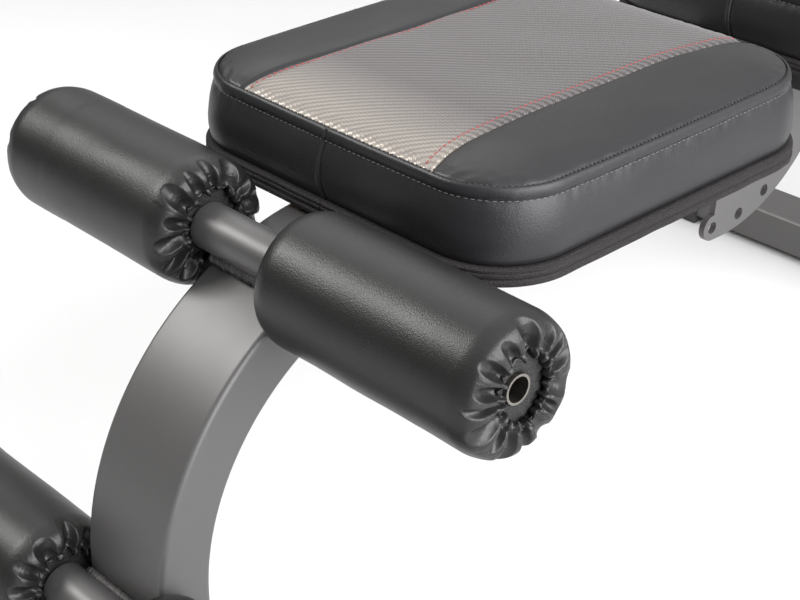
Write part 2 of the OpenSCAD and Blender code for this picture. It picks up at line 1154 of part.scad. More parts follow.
front_bend();
rear_bend();
main_rail();
legs();
front_foot_tube();
rear_foot_tube();
front_shoes();
rear_shoes();
leg_plates();
leg_bolts();
leg_nuts();
upper_sleeve();
lower_sleeve();
bar_bushes();
upper_bar();
lower_bar();
upper_foam_left();
upper_foam_right();
lower_foam_left();
lower_foam_right();
upper_cover_left();
upper_cover_right();
lower_cover_left();
lower_cover_right();
seat_cushion();
seat_board();
seat_trim();
seat_bracket_plate();
seat_flange_left();
seat_flange_right();
seat_screws();
back_cushion();
back_board();
back_trim();
back_tube_left();
back_tube_right();
back_tube_plugs();
back_cross_tubes();
back_arm_left();
back_sector();
back_screws();
back_barrel();
seat_pivot_spacer();
pivot_bolts();
pivot_nuts();
pivot_washers();
pin_housings();
seat_pin();
back_pin();
seat_knob();
back_knob();
back_shelves();
back_shelf_pads();
wheel_forks();
wheel_axles();
wheel_hub_left();
wheel_hub_right();
wheel_tyre_left();
wheel_tyre_right();
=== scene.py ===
"""Looks of the adjustable weight bench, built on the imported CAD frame. Metres, +Z up, rollers toward -Y."""

import json
import math

import bmesh
import bpy
import numpy as np
from mathutils import Matrix, Vector


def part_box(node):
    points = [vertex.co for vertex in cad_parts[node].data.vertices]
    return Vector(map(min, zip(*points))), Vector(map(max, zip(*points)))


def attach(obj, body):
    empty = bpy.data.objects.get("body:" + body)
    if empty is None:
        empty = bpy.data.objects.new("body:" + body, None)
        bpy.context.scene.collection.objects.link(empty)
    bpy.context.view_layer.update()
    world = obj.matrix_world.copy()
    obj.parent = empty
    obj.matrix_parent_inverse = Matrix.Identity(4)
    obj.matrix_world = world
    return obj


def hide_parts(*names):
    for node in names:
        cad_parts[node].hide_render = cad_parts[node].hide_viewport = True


MM = 0.001

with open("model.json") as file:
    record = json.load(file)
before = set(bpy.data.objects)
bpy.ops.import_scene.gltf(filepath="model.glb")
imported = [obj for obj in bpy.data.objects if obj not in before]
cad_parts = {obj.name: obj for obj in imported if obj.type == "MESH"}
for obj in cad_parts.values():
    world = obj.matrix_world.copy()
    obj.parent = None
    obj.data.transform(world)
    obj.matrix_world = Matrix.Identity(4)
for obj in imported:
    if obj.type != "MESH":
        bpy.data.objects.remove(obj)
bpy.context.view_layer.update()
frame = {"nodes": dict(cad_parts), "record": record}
foam_dice = np.random.default_rng(7)


# ---- mesh helpers ----


def new_object(name, verts, faces, material):
    """A smooth-shaded mesh object in the scene from vertices in metres."""
    mesh = bpy.data.meshes.new(name)
    mesh.from_pydata([tuple(map(float, v)) for v in verts], [], [tuple(f) for f in faces])
    mesh.validate()
    mesh.update()
    mesh.polygons.foreach_set("use_smooth", [True] * len(mesh.polygons))
    obj = bpy.data.objects.new(name, mesh)
    bpy.context.scene.collection.objects.link(obj)
    obj.data.materials.append(material)
    return obj


def loft(rings, close_rings=True):
    """Vertices and quads through rings of equal length; close_rings joins the last ring to the first."""
    count = len(rings)
    size = len(rings[0])
    verts = np.concatenate(rings)
    faces = []
    for i in range(count if close_rings else count - 1):
        a = i * size
        b = ((i + 1) % count) * size
        for j in range(size):
            k = (j + 1) % size
            faces.append((a + j, a + k, b + k, b + j))
    return verts, faces


def slab(grid_top, thickness):
    """A closed solid under a grid of top points: rows by columns by 3."""
    rows, cols, _ = grid_top.shape
    low = grid_top.copy()
    low[:, :, 2] -= thickness
    verts = np.concatenate([grid_top.reshape(-1, 3), low.reshape(-1, 3)])
    shift = rows * cols
    faces = []
    for i in range(rows - 1):
        for j in range(cols - 1):
            a = i * cols + j
            faces.append((a, a + 1, a + cols + 1, a + cols))
            faces.append((a + shift, a + cols + shift, a + cols + 1 + shift, a + 1 + shift))
    edge = list(range(cols))
    edge += [i * cols + cols - 1 for i in range(1, rows)]
    edge += [(rows - 1) * cols + j for j in range(cols - 2, -1, -1)]
    edge += [i * cols for i in range(rows - 2, 0, -1)]
    for n, a in enumerate(edge):
        b = edge[(n + 1) % len(edge)]
        faces.append((a, a + shift, b + shift, b))
    return verts, faces


def fix_normals(obj):
    """Turns a closed mesh's faces outward."""
    work = bmesh.new()
    work.from_mesh(obj.data)
    bmesh.ops.recalc_face_normals(work, faces=work.faces)
    work.to_mesh(obj.data)
    work.free()


def smooth_noise(points, scale, seed):
    """Cheap smooth noise from sums of sines, about -1 to 1, one value for each point."""
    spread = np.random.default_rng(seed)
    total = np.zeros(len(points))
    for _ in range(6):
        direction = spread.normal(size=3)
        direction /= np.linalg.norm(direction)
        wave = 2 * math.pi / scale * spread.uniform(0.6, 1.6)
        total += np.sin(points @ direction * wave + spread.uniform(0, 2 * math.pi))
    return total / 3


def arc_lengths(line):
    """Distance along a polyline at each of its points."""
    return np.concatenate([[0], np.cumsum(np.linalg.norm(np.diff(line, axis=0), axis=1))])


def at_height(points, z):
    """Points in the plane lifted to one height."""
    return np.column_stack([points, np.full(len(points), z)])


def bell(value, width):
    """A smooth hump, 1 where value is 0."""
    return np.exp(-((value / width) ** 2))


def middle_of(node):
    low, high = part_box(node)
    return [(a + b) / 2 / MM for a, b in zip(low, high)]


def round_radius(node):
    """Radius in millimetres of a CAD node that is a cylinder along X."""
    low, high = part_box(node)
    return (high[2] - low[2]) / 2 / MM


# ---- material helpers ----


class Nodes:
    """Short names for building one node material."""

    def __init__(self, name):
        self.material = bpy.data.materials.new(name)
        self.material.use_nodes = True
        self.tree = self.material.node_tree
        self.shader = self.tree.nodes["Principled BSDF"]

    def add(self, kind, **settings):
        node = self.tree.nodes.new(kind)
        for key, value in settings.items():
            setattr(node, key, value)
        return node

    def link(self, out_socket, in_socket):
        self.tree.links.new(out_socket, in_socket)

    def place(self, scale=(1, 1, 1), turn=0.0):
        """Object coordinates, scaled and turned about Z."""
        coordinate = self.add("ShaderNodeTexCoord")
        mapping = self.add("ShaderNodeMapping")
        mapping.inputs["Scale"].default_value = scale
        mapping.inputs["Rotation"].default_value = (0, 0, turn)
        self.link(coordinate.outputs["Object"], mapping.inputs["Vector"])
        return mapping.outputs["Vector"]

    def split(self, vector):
        """The X, Y and Z sockets of a vector."""
        node = self.add("ShaderNodeSeparateXYZ")
        self.link(vector, node.inputs[0])
        return node.outputs

    def noise(self, scale, detail=3.0, rough=0.5, vector=None):
        node = self.add("ShaderNodeTexNoise")
        node.inputs["Scale"].default_value = scale
        node.inputs["Detail"].default_value = detail
        node.inputs["Roughness"].default_value = rough
        self.link(vector or self.place(), node.inputs["Vector"])
        return node.outputs["Fac"]

    def cells(self, scale, feature="F1"):
        node = self.add("ShaderNodeTexVoronoi", feature=feature)
        node.inputs["Scale"].default_value = scale
        self.link(self.place(), node.inputs["Vector"])
        return node.outputs["Distance"]

    def math(self, operation, a, b=None):
        node = self.add("ShaderNodeMath", operation=operation)
        self.link(a, node.inputs[0])
        if isinstance(b, (int, float)):
            node.inputs[1].default_value = b
        elif b is not None:
            self.link(b, node.inputs[1])
        return node.outputs[0]

    def ramp(self, value, low, high, low_out=0.0, high_out=1.0):
        node = self.add("ShaderNodeMapRange")
        node.inputs["From Min"].default_value = low
        node.inputs["From Max"].default_value = high
        node.inputs["To Min"].default_value = low_out
        node.inputs["To Max"].default_value = high_out
        self.link(value, node.inputs["Value"])
        return node.outputs["Result"]

    def mix(self, factor, a, b):
        """Blend of two colours, each a tuple of three or a socket."""
        node = self.add("ShaderNodeMix", data_type="RGBA")
        self.link(factor, node.inputs[0])
        for socket, value in ((node.inputs[6], a), (node.inputs[7], b)):
            if isinstance(value, tuple):
                socket.default_value = (*value, 1.0)
            else:
                self.link(value, socket)
        return node.outputs[2]

    def colour(self, value):
        self.link(value, self.shader.inputs["Base Color"])

    def rough(self, value):
        self.link(value, self.shader.inputs["Roughness"])

    def bump(self, height, distance, strength=1.0, after=None):
        node = self.add("ShaderNodeBump")
        node.inputs["Distance"].default_value = distance
        node.inputs["Strength"].default_value = strength
        self.link(height, node.inputs["Height"])
        if after is not None:
            self.link(after, node.inputs["Normal"])
        return node.outputs["Normal"]

    def normal(self, value):
        self.link(value, self.shader.inputs["Normal"])

    def set(self, **values):
        for key, value in values.items():
            self.shader.inputs[key.replace("_", " ")].default_value = value


def paint_material():
    """Satin dark grey powder coat with a slow change of tone."""
    n = Nodes("frame_paint")
    tone = n.noise(6.0, 3.0)
    n.colour(n.mix(tone, (0.090, 0.088, 0.087), (0.104, 0.101, 0.100)))
    n.rough(n.ramp(n.noise(18.0, 3.0), 0.3, 0.7, 0.42, 0.46))
    peel = n.bump(n.noise(1300.0, 2.0), 0.0001, 0.35)
    n.normal(n.bump(n.noise(60.0, 2.0), 0.0002, 0.08, peel))
    n.set(Metallic=0.5)
    return n.material


def weld_material():
    """Painted weld bead: rough, darker than the tube."""
    n = Nodes("weld_paint")
    tone = n.noise(160.0, 5.0)
    n.colour(n.mix(tone, (0.026, 0.025, 0.025), (0.075, 0.072, 0.070)))
    n.rough(n.ramp(tone, 0.3, 0.7, 0.38, 0.6))
    n.normal(n.bump(n.noise(420.0, 4.0), 0.0005, 0.8))
    n.set(Metallic=0.35)
    return n.material


def steel_material():
    """Bright plated steel with fine turning marks."""
    n = Nodes("bare_steel")
    streak = n.noise(14.0, 4.0, 0.6, n.place((1, 60, 60)))
    n.colour(n.mix(streak, (0.16, 0.148, 0.13), (0.27, 0.255, 0.235)))
    n.rough(n.ramp(streak, 0.3, 0.7, 0.24, 0.42))
    n.normal(n.bump(streak, 0.0001, 0.4))
    n.set(Metallic=1.0)
    return n.material


def rubber_material():
    n = Nodes("shoe_rubber")
    tone = n.noise(24.0, 4.0)
    n.colour(n.mix(tone, (0.014, 0.014, 0.014), (0.030, 0.029, 0.028)))
    n.rough(n.ramp(n.noise(70.0, 3.0), 0.3, 0.7, 0.62, 0.78))
    n.normal(n.bump(n.noise(1400.0, 2.0), 0.0002, 0.6))
    return n.material


def plastic_material():
    n = Nodes("moulded_plastic")
    tone = n.noise(30.0, 3.0)
    n.colour(n.mix(tone, (0.016, 0.016, 0.017), (0.028, 0.028, 0.029)))
    n.rough(n.ramp(tone, 0.3, 0.7, 0.42, 0.52))
    n.normal(n.bump(n.cells(1500.0), 0.00015, 0.5))
    return n.material


def leather_material(name, dark, light, grain, depth, rough_low, rough_high, gloss):
    """Coated fabric with a fine pebble grain and slow changes of tone and gloss."""
    n = Nodes(name)
    tone = n.noise(11.0, 4.0)
    n.colour(n.mix(tone, dark, light))
    pebbles = n.math("MULTIPLY", n.cells(grain, "SMOOTH_F1"), 0.7)
    blend = n.math("ADD", pebbles, n.math("MULTIPLY", n.noise(grain * 0.6, 3.0), 0.6))
    n.rough(n.ramp(n.noise(20.0, 4.0), 0.3, 0.7, rough_low, rough_high))
    grain_bump = n.bump(blend, depth, 0.55)
    n.normal(n.bump(n.noise(28.0, 3.0), 0.0012, 0.18, grain_bump))
    n.set(Specular_IOR_Level=gloss)
    return n.material


def twill_material():
    """Silver coated twill: slanting ribs with a small zigzag, with a painted sheen that makes it paler and
    warmer at the front of the seat.
    """
    rib_pitch = 4.6 * MM
    zigzag_pitch = 2.6 * MM
    thread_pitch = 1.3 * MM
    seat_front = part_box("seat_cushion")[0][1]
    n = Nodes("silver_twill")
    turned = n.split(n.place(turn=math.radians(-44)))
    along = turned["X"]
    zig = n.math("PINGPONG", n.math("MULTIPLY", along, 1 / zigzag_pitch), 0.5)
    row = n.math("ADD", n.math("MULTIPLY", turned["Y"], 1 / rib_pitch), n.math("MULTIPLY", zig, 0.42))
    rib = n.ramp(n.math("SINE", n.math("MULTIPLY", row, 2 * math.pi)), -1.0, 1.0)
    thread = n.ramp(n.math("SINE", n.math("MULTIPLY", along, 2 * math.pi / thread_pitch)), -1.0, 1.0)
    height = n.math("ADD", rib, n.math("MULTIPLY", thread, 0.25))
    # Painted sheen: a strip at the front of the seat is coloured paler and warmer, standing in for the
    # light's highlight on its sloping front edge.
    front = n.ramp(n.split(n.place())["Y"], seat_front + 76 * MM, seat_front + 21 * MM)
    grey = n.mix(n.ramp(rib, 0.05, 0.75), (0.066, 0.0597, 0.0592), (0.134, 0.122, 0.122))
    front_sheen_colour = n.mix(n.ramp(rib, 0.05, 0.75), (0.176, 0.158, 0.141), (0.258, 0.233, 0.207))
    n.colour(n.mix(front, grey, front_sheen_colour))
    n.rough(n.ramp(rib, 0.0, 1.0, 0.52, 0.36))
    weave = n.bump(height, 0.0005, 0.45)
    n.normal(n.bump(n.noise(24.0, 3.0), 0.001, 0.12, weave))
    n.set(Metallic=0.6, Sheen_Weight=0.15, Specular_Tint=(0.35, 0.35, 0.35, 1.0))
    return n.material


def braid_material():
    """Black woven edging with fine ribs along it."""
    rib_pitch = 1.5 * MM
    n = Nodes("edge_braid")
    rib = n.math("SINE", n.math("MULTIPLY", n.split(n.place())["Z"], 2 * math.pi / rib_pitch))
    knit = n.cells(900.0)
    tone = n.noise(40.0, 4.0)
    height = n.math("ADD", n.ramp(rib, -1, 1), n.math("MULTIPLY", knit, 1.2))
    base = n.mix(tone, (0.0045, 0.0040, 0.0042), (0.009, 0.008, 0.0084))
    n.colour(n.mix(n.ramp(knit, 0.1, 0.7), base, (0.020, 0.018, 0.0185)))
    n.rough(n.ramp(tone, 0.3, 0.7, 0.6, 0.75))
    n.normal(n.bump(height, 0.0004, 0.7))
    n.set(Specular_IOR_Level=0.16)
    return n.material


def foam_material():
    n = Nodes("open_foam")
    pore = n.cells(620.0)
    speck = n.ramp(n.noise(700.0, 2.0), 0.62, 0.72)
    base = n.mix(n.ramp(pore, 0.1, 0.6), (0.003, 0.003, 0.003), (0.010, 0.010, 0.010))
    n.colour(n.mix(n.math("MULTIPLY", speck, 0.5), base, (0.040, 0.040, 0.038)))
    n.rough(n.ramp(pore, 0.0, 0.6, 0.95, 0.8))
    n.normal(n.bump(pore, 0.0008, 0.8))
    return n.material


def thread_material(name, dark, light):
    n = Nodes(name)
    twist = n.noise(900.0, 3.0, 0.6, n.place((1, 1, 3)))
    n.colour(n.mix(twist, dark, light))
    n.rough(n.ramp(twist, 0.3, 0.7, 0.55, 0.75))
    n.normal(n.bump(twist, 0.0001, 0.7))
    return n.material


def plywood_material():
    n = Nodes("plywood")
    grain = n.noise(9.0, 6.0, 0.65, n.place((10, 1, 10)))
    n.colour(n.mix(n.ramp(grain, 0.3, 0.7), (0.30, 0.19, 0.10), (0.55, 0.40, 0.24)))
    n.rough(n.ramp(grain, 0.3, 0.7, 0.6, 0.75))
    n.normal(n.bump(grain, 0.0003, 0.5))
    return n.material


def floor_material():
    n = Nodes("pale_floor")
    tone = n.noise(2.0, 3.0)
    n.colour(n.mix(tone, (0.52, 0.52, 0.52), (0.56, 0.56, 0.56)))
    n.rough(n.ramp(tone, 0.3, 0.7, 0.7, 0.8))
    return n.material


paint = paint_material()
weld = weld_material()
steel = steel_material()
rubber = rubber_material()
plastic = plastic_material()
seat_leather = leather_material(
    "seat_leather", dark=(0.0090, 0.0091, 0.0098), light=(0.0150, 0.0152, 0.0163),
    grain=1250.0, depth=0.00026, rough_low=0.36, rough_high=0.44, gloss=0.33)
roller_leather = leather_material(
    "roller_leather", dark=(0.0072, 0.0072, 0.0069), light=(0.0115, 0.0115, 0.0110),
    grain=1250.0, depth=0.00024, rough_low=0.36, rough_high=0.41, gloss=0.35)
twill = twill_material()
braid = braid_material()
foam = foam_material()
black_thread = thread_material("black_thread", (0.006, 0.006, 0.006), (0.018, 0.018, 0.018))
grey_thread = thread_material("grey_thread", (0.055, 0.055, 0.058), (0.12, 0.12, 0.12))
red_thread = thread_material("red_thread", (0.17, 0.020, 0.020), (0.28, 0.045, 0.042))
plywood = plywood_material()

SLOT_MATERIALS = {
    "frame_paint": paint,
    "bare_steel": steel,
    "rubber": rubber,
    "plastic": plastic,
    "upholstery": seat_leather,
    "edge_trim": braid,
    "roller_cover": roller_leather,
    "foam": foam,
    "plywood": plywood,
}
for part in frame["record"]["subparts"]:
    node = frame["nodes"][part["node"]]
    node.data.materials.clear()
    node.data.materials.append(SLOT_MATERIALS[part["material_slot"]])


# ---- cushions ----


PANEL_INSET = 3.3
SEAM_HEIGHT = 48.5
STITCH_HEIGHT = 39.5
PANEL_THICKNESS = 2.5
BOW_REACH = 110
FLARE_REACH = 55
EDGE_RISE = 8.0
EDGE_REACH = 15
DOME_RISE = 2.0
ROLL_DROP = 2.2
ROLL_REACH = 1.2

# Distance square to a panel's slanting seam, for one along X.
SEAM_SLANT = 0.97

# Outward push and height above the cushion's underside: up the outside of the band, then down its inside.
BOXING_PROFILE = [
    (-2.4, 0.6), (-2.4, -1.9), (-0.6, -2.2), (0.6, -1.0),
    (1.8, 3), (3.0, 8), (3.6, 14), (3.5, 20),
    (2.7, 27), (1.5, 33), (0.2, 37.2), (-0.6, 39.0),
    (-0.75, STITCH_HEIGHT), (-0.55, 40.1), (-0.1, 41.2), (0.1, 43.0),
    (-0.15, 45.0), (-0.8, 46.8), (-1.6, 47.9), (-2.4, 48.2),
    (-3.1, 47.4), (-3.6, 44), (-3.6, 39), (-2.6, 33),
    (-1.5, 27), (-0.5, 20), (-0.6, 12), (-1.4, 5),
]

# The same two values for the foam block inside, from its underside to its top.
FOAM_PROFILE = [(-60, 0.4), (-5.5, 0.4), (-5.0, 30), (-7, 42), (-12, 47), (-40, 50), (-60, 50)]

# Rings of a stitch: place along it from -1 to 1, and its share of the full width.
STITCH_RINGS = ((-1.0, 0.25), (-0.8, 0.8), (-0.3, 1.0), (0.3, 1.0), (0.8, 0.8), (1.0, 0.25))


class Cushion:
    """One upholstered pad over a CAD cushion: its outline, its panels and its seams. Millimetres inside.

    corner is the outline's corner radius, middle the middle panel's half width halfway along, and flare
    what that gains at both ends. front_bow draws the front corners back, and taper narrows both ends."""

    def __init__(self, name, body, corner, middle, flare, front_bow, taper):
        low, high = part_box(name + "_cushion")
        self.name = name
        self.body = body
        self.half = (high[0] - low[0]) / 2 / MM
        self.front = low[1] / MM
        self.rear = high[1] / MM
        self.base = low[2] / MM
        self.corner = corner
        self.middle = middle
        self.flare = flare
        self.front_bow = front_bow
        self.taper = taper
        self.seam_z = self.base + SEAM_HEIGHT
        self.stitch_z = self.base + STITCH_HEIGHT

    def warp(self, x, y, lift=1.0):
        """Bows the front edge and narrows both ends a little, more toward the top of the pad."""
        length = self.rear - self.front
        t = np.clip((y - self.front) / length, 0, 1)
        narrow = 1 - lift * self.taper * (2 * np.abs(t - 0.5)) ** 2
        near = np.clip(1 - (y - self.front) / BOW_REACH, 0, 1) ** 1.5
        shift = lift * self.front_bow * (x / 100) ** 2 * near
        return x * narrow, y + shift

    def dense_outline(self, offset, lift=1.0):
        """Closed outline, counter-clockwise from the middle of the front, and the distance round it."""
        half = self.half + offset
        front = self.front - offset
        rear = self.rear + offset
        radius = self.corner + offset
        pieces = [
            ("line", (0, front), (half - radius, front)),
            ("turn", (half - radius, front + radius), -90),
            ("line", (half, front + radius), (half, rear - radius)),
            ("turn", (half - radius, rear - radius), 0),
            ("line", (half - radius, rear), (-half + radius, rear)),
            ("turn", (-half + radius, rear - radius), 90),
            ("line", (-half, rear - radius), (-half, front + radius)),
            ("turn", (-half + radius, front + radius), 180),
            ("line", (-half + radius, front), (0, front)),
        ]
        dense = []
        for kind, a, b in pieces:
            if kind == "line":
                steps = max(2, int(math.dist(a, b) / 2))
                for i in range(steps):
                    t = i / steps
                    dense.append((a[0] + (b[0] - a[0]) * t, a[1] + (b[1] - a[1]) * t))
            else:
                for i in range(48):
                    angle = math.radians(b + 90 * i / 48)
                    dense.append((a[0] + radius * math.cos(angle), a[1] + radius * math.sin(angle)))
        dense = np.array(dense)
        dense = np.stack(self.warp(dense[:, 0], dense[:, 1], lift), 1)
        closed = np.vstack([dense, dense[:1]])
        return closed, arc_lengths(closed)

    def outline(self, offset, parts, lift=1.0):
        """Points, outward directions and signed distances from the middle of the front, at parts of the
        way round."""
        closed, arc = self.dense_outline(offset, lift)
        total = arc[-1]
        where = parts * total
        spots = [np.interp(where, arc, closed[:, k]) for k in range(2)]
        nudge = 0.8
        ahead = np.mod(where + nudge, total)
        behind = np.mod(where - nudge, total)
        tx, ty = [np.interp(ahead, arc, closed[:, k]) - np.interp(behind, arc, closed[:, k])
                  for k in range(2)]
        norm = np.hypot(tx, ty)
        signed = np.where(where < total / 2, where, where - total)
        return np.stack(spots, 1), np.stack([ty / norm, -tx / norm], 1), signed

    def samples(self):
        """Positions round the pad from 0 to 1, closer together at the seam in the middle of the front."""
        total = self.dense_outline(0)[1][-1]
        seam_reach = 7
        wide = 2.2
        fine = 0.5
        plain = np.arange(0, total, wide)
        plain = plain[(plain > seam_reach) & (plain < total - seam_reach)]
        close = np.concatenate([np.arange(0, seam_reach, fine), total - np.arange(fine, seam_reach, fine)])
        return np.unique(np.round(np.concatenate([plain, close]), 3)) / total

    def edge_distance(self, x, y):
        """Distance in from the top seam, before it is bowed and narrowed."""
        qx = np.abs(x) - (self.half - self.corner)
        centre = (self.front + self.rear) / 2
        qy = np.abs(y - centre) - ((self.rear - self.front) / 2 - self.corner)
        outside = np.hypot(np.maximum(qx, 0), np.maximum(qy, 0))
        inside = np.minimum(np.maximum(qx, qy), 0)
        return self.corner - outside - inside - PANEL_INSET

    def border(self, y):
        """Half width of the middle panel at y, before the pad is narrowed."""
        ends = np.exp(-(y - self.front) / FLARE_REACH) + np.exp(-(self.rear - y) / FLARE_REACH)
        return self.middle + self.flare * ends

    def crown(self, x, y, seam):
        """Height of the top at a point, with a groove where seam, a distance, is small."""
        inside = np.maximum(self.edge_distance(x, y), 0)
        dome = DOME_RISE * np.sin(np.clip(inside / self.half, 0, 1) * math.pi / 2)
        rise = EDGE_RISE * (1 - np.exp(-inside / EDGE_REACH)) + dome
        roll = ROLL_DROP * np.exp(-inside / ROLL_REACH)
        narrow_groove = 1.7 * bell(seam, 1.6)
        wide_dip = 1.4 * bell(seam, 7.0)
        flat = np.stack([x, y, np.zeros_like(x)], -1).reshape(-1, 3)
        soft = smooth_noise(flat, 90.0, 3).reshape(x.shape) * 0.5
        pucker = smooth_noise(flat, 11.0, 23).reshape(x.shape) * 0.42 * bell(inside - 4, 6.0)
        crease = smooth_noise(flat * np.array([0.45, 1.0, 1.0]), 26.0, 41).reshape(x.shape)
        soft = soft + crease * 0.16 * np.clip((np.abs(x) - self.middle) / 30, 0, 1)
        soft = soft * np.clip(inside / 20, 0, 1)
        return self.seam_z + rise - roll - (narrow_groove + wide_dip) + soft + pucker

    def finish(self, obj):
        fix_normals(obj)
        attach(obj, self.body)
        return obj

    def rows(self):
        """Positions along the pad, closer together at both ends and round the corners."""
        corner_rows = 26
        row_spacing = 4
        turn = (self.corner - PANEL_INSET) * (1 - np.cos(np.linspace(0, math.pi / 2, corner_rows)))
        start = self.front + PANEL_INSET + turn
        end = self.rear - PANEL_INSET - turn[::-1]
        steps = int((end[0] - start[-1]) / row_spacing)
        middle = np.linspace(start[-1], end[0], steps + 1)[1:-1]
        return np.concatenate([start, middle, end])

    def panel(self, label, x, y, seam, mirror, material):
        """A sewn panel of the top over a grid of places; mirror is -1 on the left."""
        wx, wy = self.warp(x * mirror, y)
        grid = np.stack([wx, wy, self.crown(x, y, seam)], -1) * MM
        verts, faces = slab(grid[:, ::mirror], PANEL_THICKNESS * MM)
        return self.finish(new_object(f"{self.name}_{label}", verts, faces, material))

    def middle_panel(self):
        rows = self.rows()
        columns = 73
        s = np.linspace(-1, 1, columns)
        s = np.sin(s * math.pi / 2) * 0.35 + s * 0.65
        y = np.repeat(rows[:, None], len(s), 1)
        half = self.border(y)
        x = half * s[None, :]
        return self.panel("middle_panel", x, y, (half - np.abs(x)) * SEAM_SLANT, 1, twill)

    def side_panel(self, side):
        rows = self.rows()
        even = np.linspace(0, 1, 37)
        s = (1 - np.cos(even * math.pi)) / 2
        s = s * 0.5 + even * 0.5
        y = np.repeat(rows[:, None], len(s), 1)
        inner = self.border(y)
        centre = (self.front + self.rear) / 2
        reach = np.abs(y - centre) - ((self.rear - self.front) / 2 - self.corner)
        reach = np.clip(reach, 0, self.corner)
        radius = self.corner - PANEL_INSET
        outer = self.half - self.corner + np.sqrt(np.maximum(radius ** 2 - reach ** 2, 0))
        outer = np.maximum(outer, inner + 0.4)
        x = inner + (outer - inner) * s[None, :]
        label = "right" if side > 0 else "left"
        return self.panel(f"side_panel_{label}", x, y, (x - inner) * SEAM_SLANT, side, seat_leather)

    def boxing(self):
        """The upright band round the pad: a seam at the middle of the front, and a sewn roll at its top."""
        parts = self.samples()
        rings = []
        for depth, height in BOXING_PROFILE:
            z = self.base + height
            lift = float(np.clip((z - self.base) / 44, 0, 1))
            bulge = math.sin(min(lift * 1.1, 1) * math.pi)
            outside = 1.0 if depth > -1.3 else 0.0
            points, outward, signed = self.outline(0, parts, lift)
            bend = signed + 2.6 * math.sin(lift * math.pi)
            seam = -1.5 * bell(bend, 0.9) + 0.7 * bell(bend + 2.2, 1.4)
            if z >= self.stitch_z + 1:
                seam = seam * 0.45
            spots = at_height(points, z)
            sag = smooth_noise(spots, 70.0, 11) * 0.35 * bulge
            wrinkle = smooth_noise(spots * np.array([0.25, 0.25, 1.0]), 17.0, 31) * 0.22 * bulge
            pucker = smooth_noise(spots, 9.0, 17) * 0.28 * bell(z - self.stitch_z, 4.5)
            push = depth + sag + outside * (seam + wrinkle + pucker)
            rings.append(at_height(points + outward * push[:, None], z) * MM)
        verts, faces = loft(rings)
        return self.finish(new_object(self.name + "_boxing", verts, faces, seat_leather))

    def core(self):
        """Foam block under the panels; it hides the inside and carries the cushion's shape."""
        around = 160
        rings = []
        for depth, height in FOAM_PROFILE:
            points, _, _ = self.outline(max(depth, 2 - self.corner), np.arange(around) / around, 0.5)
            if depth < -self.corner + 2:
                centre = points.mean(0)
                points = centre + (points - centre) * 0.6
            rings.append(at_height(points, self.base + height) * MM)
        verts, faces = loft(rings, close_rings=False)
        low_centre = len(verts)
        high_centre = low_centre + 1
        top_ring = low_centre - around
        verts = [*verts, rings[0].mean(0), rings[-1].mean(0)]
        for j in range(around):
            k = (j + 1) % around
            faces.append((low_centre, k, j))
            faces.append((high_centre, top_ring + j, top_ring + k))
        return self.finish(new_object(self.name + "_foam", verts, faces, foam))

    def trim(self):
        """Woven edging round the board: a wide band above, a groove, and a narrow roll below."""
        low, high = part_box(self.name + "_trim")
        bottom = low[2] / MM
        top = high[2] / MM
        height = top - bottom
        wide = (high[0] - low[0]) / 2 / MM - self.half
        profile = [
            (-2.8, bottom + 0.6), (-2.8, top - 0.4), (0.4, top - 0.1),
            (wide - 2.4, top - 0.3), (wide - 1.0, top - 1.0),
            (wide - 0.4, top - 2.0), (wide - 0.5, top - 2.9), (wide - 1.2, top - 3.2),
            (wide - 0.5, top - 3.5), (wide - 0.2, bottom + height * 0.62),
            (wide - 0.45, bottom + height * 0.5), (wide - 1.3, bottom + height * 0.455),
            (wide - 2.2, bottom + height * 0.43), (wide - 1.3, bottom + height * 0.405),
            (wide - 0.2, bottom + height * 0.36), (wide, bottom + height * 0.22),
            (wide - 0.5, bottom + height * 0.08), (wide - 1.8, bottom + 0.05), (wide - 4.0, bottom),
        ]
        points, outward, signed = self.outline(0, self.samples(), 0.0)
        rings = []
        for depth, z in profile:
            joint = bell(signed + 1.5, 1.0) * (0.9 if depth > wide - 2.5 else 0)
            wave = smooth_noise(at_height(points, z), 45.0, 5) * (0.25 if depth > 0 else 0)
            rings.append(at_height(points + outward * (depth - joint + wave)[:, None], z) * MM)
        verts, faces = loft(rings)
        obj = self.finish(new_object(self.name + "_edging", verts, faces, braid))
        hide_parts(self.name + "_trim")

    def stitches(self, label, points, tangents, ups, length, width, material):
        """A row of short thread loops: one flattened capsule at each point."""
        verts = []
        faces = []
        around = 6
        for point, tangent, up in zip(points, tangents, ups):
            t = Vector(tangent).normalized()
            u = Vector(up).normalized()
            w = t.cross(u).normalized()
            u = w.cross(t)
            first = len(verts)
            for along, fat in STITCH_RINGS:
                for k in range(around):
                    angle = 2 * math.pi * k / around
                    arch = 1 - along * along
                    place = Vector(point) + t * (along * length / 2)
                    place += w * (math.cos(angle) * fat * width / 2)
                    place += u * (math.sin(angle) * fat * width / 2 + arch * width * 0.25)
                    verts.append(place * MM)
            for r in range(len(STITCH_RINGS) - 1):
                for k in range(around):
                    a = first + r * around + k
                    b = first + r * around + (k + 1) % around
                    faces.append((a, b, b + around, a + around))
            faces.append(tuple(first + k for k in reversed(range(around))))
            faces.append(tuple(first + (len(STITCH_RINGS) - 1) * around + k for k in range(around)))
        obj = new_object(f"{self.name}_{label}", verts, faces, material)
        return self.finish(obj)

    def ring_stitches(self, label, offset, z, pitch, length, width, material, tilt):
        """Stitches all round the pad; tilt turns them from lying flat (0) to facing outward (1)."""
        count = int(self.dense_outline(offset)[1][-1] / pitch)
        points, outward, _ = self.outline(offset, np.arange(count) / count)
        tangents = [(-o[1], o[0], 0) for o in outward]
        ups = [(o[0] * tilt, o[1] * tilt, 1 - tilt) for o in outward]
        spots = [(p[0], p[1], z) for p in points]
        return self.stitches(label, spots, tangents, ups, length, width, material)

